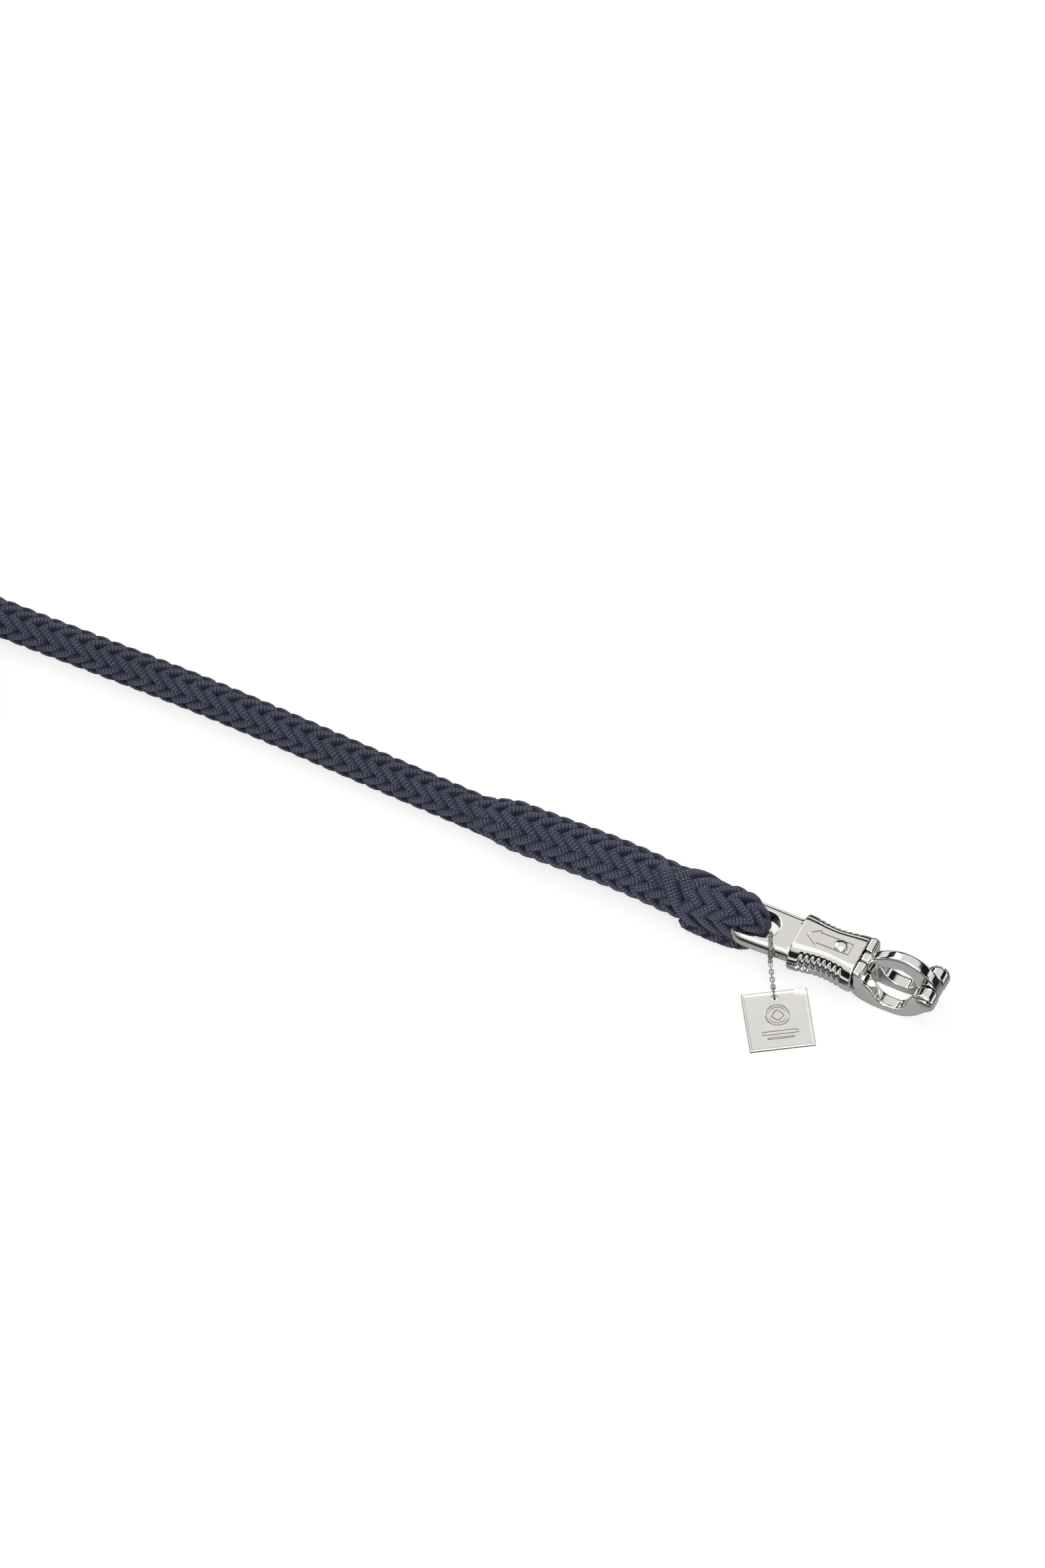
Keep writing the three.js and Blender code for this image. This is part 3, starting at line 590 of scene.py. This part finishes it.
def hank_points():
    """The rope's centreline through the hank, from the side where it enters."""
    points = []

    def run(x0, x1, side, z):
        count = 24
        for i in range(1, count + 1):
            x = x0 + (x1 - x0) * i / count
            points.append((x, side * lane_y(x), z))

    def fold(x, start, end, z0, z1, ramp):
        count = 20
        for i in range(1, count + 1):
            a = start + (end - start) * i / count
            rise = smoothstep(abs(a - start) / ramp)
            z = z0 + (z1 - z0) * rise
            points.append((x + HANK_FOLD_R * math.cos(a), HANK_FOLD_R * math.sin(a), z))

    low, high = HANK_LOW_Z, HANK_HIGH_Z
    r = HANK_HALF_RUN
    run(r, -r, 1, low)
    fold(-r, math.pi / 2, 1.5 * math.pi, low, low, 1)
    run(-r, r, -1, low)
    fold(r, -math.pi / 2, math.pi / 2, low, high, math.radians(130))
    run(r, -r, 1, high)
    fold(-r, math.pi / 2, 1.5 * math.pi, high, high, 1)
    run(-r, HANK_END_X + 4, -1, high)
    return [(HANK_X + x, HANK_Y + y, z) for x, y, z in points]


def rope_line(step):
    lead = [(-160, 5.6, ROPE_Z), *[(x, y, ROPE_Z) for x, y in ROPE_ROUTE]]
    lead += [(-452, 13.5, ROPE_Z + 0.6), (-480, 13.5, HANK_LOW_Z), (-503, 13.5, HANK_LOW_Z)]
    return resample(catmull(lead + hank_points(), 2.0), step)


LEAN = 0.38  # a strand turns slower while it is on top, so it lies closer to the rope's own line


def braid(builder, line, along, r_mid, swing, strands, pitch, width, thick, turn, side=None, sides=8):
    """Strands of two hands that pass over and under in columns, so each column shows V shapes.
    r_mid is the section's half thickness and half width, to the strands' middles."""
    tangent = unit(np.gradient(line, axis=0))
    if side is None:
        side = unit(np.cross(tangent, np.array([0.0, 0.0, 1.0])))
    top = np.cross(side, tangent)
    columns = strands // 2
    r_top, r_side = [np.broadcast_to(r, len(line))[:, None] for r in r_mid]
    width = np.broadcast_to(width, len(line))
    for hand in (1, -1):
        for j in range(strands):
            phase = 2 * np.pi * j / strands
            if hand < 0:
                phase += np.pi / strands
            angle = hand * 2 * np.pi * along / pitch + phase
            column = columns * (angle - turn)
            angle = turn + (column + hand * LEAN * np.cos(column)) / columns
            c, s = np.cos(angle)[:, None], np.sin(angle)[:, None]
            over = np.tanh(1.9 * np.sin(columns * (angle - turn))) / np.tanh(1.9)
            outward = unit(top * c / r_top + side * s / r_side)
            centre = line + top * c * r_top + side * s * r_side + outward * (hand * swing * over)[:, None]
            add_strand(builder, centre, outward, width / 2, thick / 2, sides)


ROPE_CORE_R = 5.6
ROPE_TURN = math.radians(-55.3)
SPLICE_TURN = math.radians(-43)
LOOP_TURN = math.radians(-10)


def make_rope():
    line, along = rope_line(step=2.45)
    builder = Builder()
    braid(
        builder,
        line,
        along,
        r_mid=(5.75, 5.75),
        swing=1.75,
        strands=8,
        pitch=64,
        width=4.5,
        thick=3.5,
        turn=ROPE_TURN,
    )
    rope = add_object("braided_rope", builder.mesh("braided_rope"), "rope", KNIT)
    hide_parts("rope_run", "rope_hank")

    core = Builder()
    core_line, _ = rope_line(step=6)
    tangent = unit(np.gradient(core_line, axis=0))
    side = unit(np.cross(tangent, np.array([0.0, 0.0, 1.0])))
    add_strand(core, core_line, side, ROPE_CORE_R, ROPE_CORE_R, sides=12, power=2)
    inner = add_object("rope_core", core.mesh("rope_core"), "rope", CORE)
    return rope, inner, line


# ---------- splice, collar and the loop through the hook's eye ----------

SPLICE_LINE = [
    (-54, 1.8, -4.2),
    (-62, 2.4, -4.7),
    (-66.2, 2.8, -4.7),
    (-81.5, 3.7, -4.7),
    (-115, 5.8, -4.7),
    (-156, 5.5, -4.9),
    (-172, 6.0, -5.6),
    (-186, 6.5, -8.0),
]


SPLICE_OUTER_R = SPLICE_R - 0.4
SPLICE_FRONT_R = 7.4
SPLICE_TAIL_R = 9.3


def make_splice():
    line, along = resample(catmull(SPLICE_LINE, 1.0), 2.0)
    x = line[:, 0]
    grow = np.array([smoothstep((-52 - v) / 26) for v in x])
    shrink = np.array([smoothstep((v + 188) / 22) for v in x])
    outer = SPLICE_FRONT_R + (SPLICE_OUTER_R - SPLICE_FRONT_R) * grow
    outer = SPLICE_TAIL_R + (outer - SPLICE_TAIL_R) * shrink
    builder = Builder()
    r_mid = outer - 3.7
    width = 5.2 * (0.62 + 0.38 * np.clip(r_mid / 9.3, 0, 1))
    braid(
        builder,
        line,
        along,
        r_mid=(r_mid, r_mid),
        swing=1.8,
        strands=10,
        pitch=80,
        width=width,
        thick=3.8,
        turn=SPLICE_TURN,
        sides=10,
    )
    splice = add_object("splice_braid", builder.mesh("splice_braid"), "rope", KNIT)
    core = Builder()
    tangent = unit(np.gradient(line, axis=0))
    side = unit(np.cross(tangent, np.array([0.0, 0.0, 1.0])))
    add_strand(core, line, side, r_mid - 0.4, r_mid - 0.4, sides=16, power=2)
    inner = add_object("splice_core", core.mesh("splice_core"), "rope", CORE)
    return splice, inner


LOOP_LINE = [
    # x, z, half thickness and half width to the strands' middles
    (-74, 1.6, 5.0, 8.6),
    (-64, 3.6, 4.4, 8.4),
    (-55, 5.4, 3.6, 8.2),
    (-47.5, 6.2, 3.2, 7.9),
    (-41.2, 4.4, 2.9, 6.8),
    (-37.2, 0.4, 2.6, 5.0),
    (-36.4, -4.2, 2.5, 4.9),
    (-38.6, -8.8, 2.6, 6.2),
    (-44.5, -11.6, 2.6, 8.0),
    (-54, -12.2, 3.0, 8.6),
    (-66, -11.2, 3.4, 8.8),
    (-74, -9.8, 3.6, 8.8),
]


def make_loop():
    table = catmull([(x, z, t) for x, z, t, _ in LOOP_LINE], 0.5)
    wide = catmull([(x, z, w) for x, z, _, w in LOOP_LINE], 0.5)
    count = min(len(table), len(wide))
    line = np.stack([table[:count, 0], np.full(count, 0.3), table[:count, 1]], axis=1)
    even, along = resample(line, 1.3)
    steps = np.linspace(0, 1, count)
    gaps = np.linalg.norm(np.diff(line, axis=0), axis=1)
    share = np.concatenate([[0], np.cumsum(gaps)]) / gaps.sum()
    place = np.interp(np.linspace(0, 1, len(even)), share, steps)
    half_thick = np.interp(place, steps, table[:count, 2])
    half_wide = np.interp(place, steps, wide[:count, 2])
    side = np.broadcast_to(np.array([0.0, -1.0, 0.0]), even.shape)
    builder = Builder()
    width = 2.4 + 0.36 * half_wide
    braid(
        builder,
        even,
        along,
        r_mid=(half_thick - 0.8, half_wide),
        swing=1.1,
        strands=6,
        pitch=52,
        width=width,
        thick=3.2,
        turn=LOOP_TURN,
        side=side,
        sides=10,
    )
    loop = add_object("eye_loop", builder.mesh("eye_loop"), None, KNIT)

    inner = Builder()
    tangent = unit(np.gradient(even, axis=0))
    add_strand(inner, even, np.cross(side, tangent), half_wide, half_thick, sides=16, power=2.4)
    core = add_object("loop_core", inner.mesh("loop_core"), None, CORE)
    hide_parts("rope_eye")
    return loop, core


COLLAR_BANDS = (
    # distance along the neck at the top, first and last angle from the top in degrees, slope
    (-80.5, 42, -128, -0.19),
    (-88.5, -34, 158, 0.19),
    (-71.0, 40, -122, -0.19),
    (-78.5, -36, 164, 0.20),
    (-61.5, 36, -112, -0.17),
    (-68.5, -38, 160, 0.20),
)


NECK_Z = -3.8
LOWEST_Z = -15.0  # a crossing strand's middle stays above the table


def neck_y(x):
    return 2.4 - (x + 60) * 0.05


def make_collar():
    """Strands that cross the neck: they meet on top and run towards the hook on both sides."""
    builder = Builder()
    for x_top, start, end, slope in COLLAR_BANDS:
        points = []
        for i in range(33):
            share = i / 32
            degrees = start + (end - start) * share
            a = math.radians(degrees)
            x = x_top + slope * degrees
            neck = 9.3 + 2.5 * smoothstep((-48 - x) / 30)
            tuck = 4.6 * (smoothstep((share - 0.84) / 0.16) + smoothstep((0.24 - share) / 0.24))
            r = neck - tuck
            z = max(LOWEST_Z, NECK_Z + r * math.cos(a))
            points.append((x, neck_y(x) - r * math.sin(a), z))
        line, _ = resample(catmull(points, 0.8), 1.4)
        x = line[:, 0]
        centre = np.stack([x, neck_y(x), np.full(len(line), NECK_Z)], axis=1)
        add_strand(builder, line, unit(line - centre), 3.6, 2.3, sides=14)
    return add_object("neck_strands", builder.mesh("neck_strands"), "rope", KNIT)


# ---------- whipped end and tie ----------


def lathe_mesh(name, profile, centre, axis, sides=48):
    """Turns (along, radius) pairs in millimetres round an axis through centre."""
    axis = Vector(axis).normalized()
    side = axis.cross(Vector((0, 0, 1)))
    if side.length < 0.1:
        side = axis.cross(Vector((1, 0, 0)))
    side.normalize()
    third = axis.cross(side)
    builder = Builder()
    rings = []
    for along, radius in profile:
        ring = []
        for k in range(sides):
            a = 2 * math.pi * k / sides
            q = axis * along + (side * math.cos(a) + third * math.sin(a)) * max(radius, 0.01)
            ring.append(centre + q * MM)
        rings.append(ring)
    turns = [2 * math.pi * k / sides for k in range(sides)]
    strand = [[(along, math.cos(a), math.sin(a)) for a in turns] for along, _ in profile]
    builder.rings(rings, strand=strand)
    return builder.mesh(name)


WHIPPING_PITCH = 1.6
WHIPPING_R = 9.2


def make_rope_end():
    start_x = HANK_END_X + 5.6
    slope = (lane_y(HANK_END_X) - lane_y(HANK_END_X + 20)) / 20
    axis = Vector((1, slope, 0)).normalized()
    centre = P(HANK_X + start_x, HANK_Y - lane_y(start_x), HANK_HIGH_Z)
    profile = [(0.2, 0), (0.2, 7.6)]
    turns = 14
    for i in range(turns * 6 + 1):
        s = i / 6
        profile.append((0.6 + s * WHIPPING_PITCH, WHIPPING_R - 0.45 + 0.45 * abs(math.sin(math.pi * s))))
    last = 0.6 + turns * WHIPPING_PITCH
    tip = ((0.5, 8.9), (2.6, 8.6), (4.2, 6.8), (4.9, 3.5), (5.1, 0))
    profile += [(last + past, radius) for past, radius in tip]
    mesh = lathe_mesh("whipped_end", profile, centre, axis)
    end = add_object("whipped_end", mesh, "rope", WEBBING)
    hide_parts("rope_end")
    return end


def make_tie():
    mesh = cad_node("hank_tie").data.copy()
    tie = add_object("hank_strap", mesh, "rope", WEBBING)
    round_edges(tie, 0.5, segments=3, sharper_than=40)
    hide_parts("hank_tie")
    return tie


# ---------- hook ----------

SLEEVE_HALF_L = 16.5
SLEEVE_HALF_W = 15.1
SLEEVE_WAIST = 2.0
SLEEVE_TOP_Z = 6.75
SLEEVE_BOTTOM_Z = -9.0
RIB_COUNT, RIB_PITCH, RIB_DEPTH = 7, 2.9, 0.6
TUNNEL_HALF_W, TUNNEL_LOW, TUNNEL_HIGH = 10.3, -7.3, 1.5
REAR_MOUTH_HALF_W = 12.4
SLEEVE_PROFILE = [
    # from the bottom's edge up to the top's edge: half width at the ends, height
    (10.4, -9.0),
    (12.8, -8.2),
    (14.5, -5.8),
    (15.1, -2.2),
    (14.5, 0.9),
    (12.8, 3.5),
    (10.3, 5.72),
    (8.0, 6.75),
]
SIDE_SAMPLES = 5
FLAT_SAMPLES = 8


def sleeve_width(x):
    return SLEEVE_HALF_W - SLEEVE_WAIST * math.cos((x / SLEEVE_HALF_L) * (math.pi / 2)) ** 2


def rib_groove(x):
    half_ribs = RIB_COUNT * RIB_PITCH / 2
    if abs(x) > half_ribs + RIB_PITCH / 2:
        return 0.0
    phase = (x + half_ribs) / RIB_PITCH
    return (0.5 + 0.5 * math.cos(2 * math.pi * phase)) ** 1.6


def side_profile():
    """Points of one side with the share of the rib grooves at each."""
    count = len(SLEEVE_PROFILE)
    shares = [0.0, 0.5, 1.0, 1.0, 1.0, 0.9, 0.0, 0.0]
    table = catmull([(y, z, share) for (y, z), share in zip(SLEEVE_PROFILE, shares)], 0.5)
    pick = np.linspace(0, len(table) - 1, SIDE_SAMPLES * (count - 1) + 1)
    return [table[int(round(i))] for i in pick]


SIDE = side_profile()


def around(x, side, top_half, bottom_half, top, bottom):
    """A ring: the side in +Y, the top, the side in -Y and the bottom."""
    flat = [1 - 2 * (i + 1) / (FLAT_SAMPLES + 1) for i in range(FLAT_SAMPLES)]
    ring = [(y, z) for y, z in side]
    ring += [(top_half * share, top) for share in flat]
    ring += [(-y, z) for y, z in reversed(side)]
    ring += [(-bottom_half * share, bottom) for share in flat]
    return [P(x, y, z) for y, z in ring]


def sleeve_ring(x, inset):
    wide = sleeve_width(x) / SLEEVE_HALF_W * (1 - inset / SLEEVE_HALF_W)
    middle = (SLEEVE_TOP_Z + SLEEVE_BOTTOM_Z) / 2
    tall = 1 - 2 * inset / (SLEEVE_TOP_Z - SLEEVE_BOTTOM_Z)
    side = []
    for y, z, share in SIDE:
        groove = RIB_DEPTH * 1.3 * share * rib_groove(x)
        side.append((y * wide - groove, middle + (z - middle) * tall))
    (bottom_half, bottom), (top_half, top) = side[0], side[-1]
    return around(x, side, top_half, bottom_half, top, bottom)


def tunnel_ring(x, half_w, low, high):
    """A rectangle with as many points as the outside, in the same order."""
    last = len(SIDE) - 1
    side = [(half_w, low + (high - low) * i / last) for i in range(last + 1)]
    return around(x, side, half_w, half_w, high, low)


def make_sleeve():
    builder = Builder()
    end = SLEEVE_HALF_L
    rings = [sleeve_ring(-end, 0.7), sleeve_ring(-end + 0.1, 0.33), sleeve_ring(-end + 0.33, 0.1)]
    count = 150
    for i in range(count + 1):
        rings.append(sleeve_ring(-end + 0.7 + (2 * end - 1.4) * i / count, 0))
    rings += [sleeve_ring(end - 0.33, 0.1), sleeve_ring(end - 0.1, 0.33), sleeve_ring(end, 0.7)]
    rings += [
        tunnel_ring(end, TUNNEL_HALF_W + 0.3, TUNNEL_LOW - 0.3, TUNNEL_HIGH + 0.3),
        tunnel_ring(end - 0.3, TUNNEL_HALF_W, TUNNEL_LOW, TUNNEL_HIGH),
        tunnel_ring(-6.4, TUNNEL_HALF_W, TUNNEL_LOW, TUNNEL_HIGH),
        tunnel_ring(-6.5, REAR_MOUTH_HALF_W, TUNNEL_LOW, TUNNEL_HIGH),
        tunnel_ring(-end + 0.3, REAR_MOUTH_HALF_W, TUNNEL_LOW, TUNNEL_HIGH),
        tunnel_ring(-end, REAR_MOUTH_HALF_W + 0.3, TUNNEL_LOW - 0.3, TUNNEL_HIGH + 0.3),
    ]
    builder.rings(rings, closed=True)
    sleeve = add_object("sleeve_shell", builder.mesh("sleeve_shell"), "sleeve", CHROME)
    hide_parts("release_sleeve")


ARROW_H = 0.4
ARROW_OUTLINE = [
    (-12.9, 0),
    (-6, 5.1),
    (-6, 3.5),
    (11.2, 3.5),
    (11.2, -3.5),
    (-6, -3.5),
    (-6, -5.1),
]
ARROW_INNER = [
    (-12.0, 0),
    (-6.24, 3.96),
    (-6.24, 2.9),
    (10.6, 2.9),
    (10.6, -2.9),
    (-6.24, -2.9),
    (-6.24, -3.96),
]


def make_arrow():
    """A thin raised outline on the sleeve's top."""
    builder = Builder()
    top, low = SLEEVE_TOP_Z + ARROW_H, SLEEVE_TOP_Z - 0.6
    rings = []
    for outer, inner in zip(ARROW_OUTLINE, ARROW_INNER):
        outer, inner = Vector(outer), Vector(inner)
        slope = (inner - outer) * 0.25
        near, far = outer + slope, inner - slope
        rings.append([P(*outer, low), P(*near, top), P(*far, top), P(*inner, low)])
    builder.rings(rings, closed=True)
    mesh = builder.mesh("sleeve_arrow")
    # The outline takes the darker copy of the chrome as painted shade.
    add_object("sleeve_arrow", mesh, "sleeve", SHADED_RELIEF_METAL, smooth=False)


TAG_SIDE = 31.8
TAG_TURN = math.radians(33)
TAG_EDGE_V = 0.95  # from the ring's centre to the tag's top edge
TAG_DROP = 2.5  # from the ring's centre down to the tag's mid-plane at its far edge
TAG_RECESS = 0.6
ORNAMENT_V = 12.0  # the ornament's middle, from the ring's centre
ORNAMENT_H = 0.34
BAR_H = 0.3


def make_ornament():
    """A plain ring round a lozenge, with two bars under it, on the tag's floor."""
    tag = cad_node("tag")
    corners = np.array([v.co for v in tag.data.vertices])
    u = Vector((math.cos(TAG_TURN), math.sin(TAG_TURN), 0))
    ring_low, ring_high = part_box("tag_ring")
    hinge = (Vector(ring_low) + Vector(ring_high)) / 2
    flat = Vector((u.y, -u.x, 0))
    tilt = math.asin(TAG_DROP / (TAG_SIDE - TAG_EDGE_V))
    v = Matrix.Rotation(tilt, 3, u) @ flat
    n = u.cross(v)
    if n.z < 0:
        n = -n
    levels = [(Vector(c) - hinge).dot(n) for c in corners]
    floor_level = max(levels) - TAG_RECESS * MM  # inside the raised rim

    def spot(a, b, h):
        return hinge + u * (a * MM) + v * (b * MM) + n * (floor_level + h * MM)

    builder = Builder()

    def outline(points, half, height):
        """A raised band that follows a closed line on the tag."""
        rings = []
        count = len(points)
        for i, (a, b) in enumerate(points):
            before, after = Vector(points[i - 1]), Vector(points[(i + 1) % count])
            along = (after - before).normalized()
            side = Vector((along.y, -along.x)) * half
            top = side * 0.55
            rings.append([
                spot(a - side.x, b - side.y, -0.1),
                spot(a - top.x, b - top.y, height),
                spot(a + top.x, b + top.y, height),
                spot(a + side.x, b + side.y, -0.1),
            ])
        builder.rings(rings, closed=True)

    for radius, half in ((5.6, 0.42), (4.3, 0.2)):
        turns = [2 * math.pi * i / 64 for i in range(64)]
        circle = [(radius * math.cos(a), ORNAMENT_V + radius * math.sin(a)) for a in turns]
        outline(circle, half, ORNAMENT_H)
    lozenge = []
    for i in range(48):
        a = 2 * math.pi * i / 48
        r = 2.9 / (abs(math.cos(a)) ** 1.25 + abs(math.sin(a)) ** 1.25) ** (1 / 1.25)
        lozenge.append((r * math.cos(a), ORNAMENT_V + r * math.sin(a)))
    outline(lozenge, 0.45, ORNAMENT_H)
    for b, half_long, half_wide in ((21.6, 9.0, 0.9), (24.6, 6.6, 0.35)):
        bar = []
        for i in range(40):
            a = 2 * math.pi * (i + 0.5) / 40
            bar.append((
                half_long * math.copysign(abs(math.cos(a)) ** 0.3, math.cos(a)),
                b + half_wide * math.copysign(abs(math.sin(a)) ** 0.3, math.sin(a)),
            ))
        outline(bar, 0.22, BAR_H)
    mesh = builder.mesh("tag_ornament")
    # The ornament takes the darker copy of the chrome as painted shade.
    add_object("tag_ornament", mesh, "tag", SHADED_RELIEF_METAL, smooth=False)


GAP = 0.3  # under a rivet's head


def make_rivets():
    def pin(name, node, body, shaft, head_r, head_h, grip, x, z, axis):
        """A pin with a domed head on both ends."""
        profile = [(-grip - head_h, 0)]
        for i in range(1, 9):
            a = math.pi / 2 * i / 8
            profile.append((-grip - head_h * math.cos(a) ** 0.8, head_r * math.sin(a)))
        profile += [(-grip, head_r * 0.98), (-grip, shaft), (grip, shaft), (grip, head_r * 0.98)]
        for i in range(8, 0, -1):
            a = math.pi / 2 * i / 8
            profile.append((grip + head_h * math.cos(a) ** 0.8, head_r * math.sin(a)))
        profile.append((grip + head_h, 0))
        made = add_object(name, lathe_mesh(name, profile, P(x, 0, z), axis), body, CHROME)
        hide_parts(node)

    middle = (SLEEVE_TOP_Z + SLEEVE_BOTTOM_Z) / 2
    grip = (SLEEVE_TOP_Z - SLEEVE_BOTTOM_Z) / 2 + GAP
    pin(
        "sleeve_pin",
        "sleeve_rivet",
        "sleeve",
        shaft=1.7,
        head_r=3.5,
        head_h=1.3,
        grip=grip,
        x=5.6,
        z=middle,
        axis=(0, 0, 1),
    )
    pin(
        "bow_pin",
        "hinge_pin",
        "hook",
        shaft=2.0,
        head_r=4.5,
        head_h=1.5,
        grip=10.7,
        x=53.3,
        z=0,
        axis=(0, 1, 0),
    )


LINK_SWELL = 0.08
JUNCTION_LINKS = ("rim_link_01", "rim_link_24", "chain_link_06")  # these keep the CAD wire
CROSSING_LINKS = ("rim_link_02", "chain_link_07")  # these swing past each other
CROSSING_SWELL = -0.06


def make_chain():
    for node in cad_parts:
        swell = 0.0 if node in JUNCTION_LINKS else LINK_SWELL
        if node in CROSSING_LINKS:
            swell = CROSSING_SWELL
        if node.startswith("rim_link"):
            smooth_copy(node, node.replace("rim_link", "eye_link"), "hook", STEEL, swell=swell)
        elif node.startswith("chain_link"):
            smooth_copy(node, node.replace("chain_link", "tag_link"), "chain", STEEL, swell=swell)
    smooth_copy("tag_ring", "split_ring", "chain", STEEL, levels=2, swell=0.05)


def make_spring():
    spring = smooth_copy("sleeve_spring", "sleeve_coil", "hook", STEEL)
    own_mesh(spring)


make_camera()
make_stage()
rope, rope_inner, line = make_rope()
splice, splice_inner = make_splice()
loop, loop_inner = make_loop()
collar = make_collar()
rope_tip = make_rope_end()
tie = make_tie()
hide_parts("rope_splice")
for piece in (loop, loop_inner):
    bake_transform(piece)
cast_copy("hook_frame", "hook_casting", "hook", CHROME, voxel=0.31, rounds=11)
cast_copy("bow", "bow_casting", "bow", CHROME, voxel=0.25, rounds=22)
make_sleeve()
make_arrow()
make_ornament()
make_rivets()
make_chain()
make_spring()
hard_copy("tag", "tag_plate", "tag", TAG_METAL, round_off=0.18)
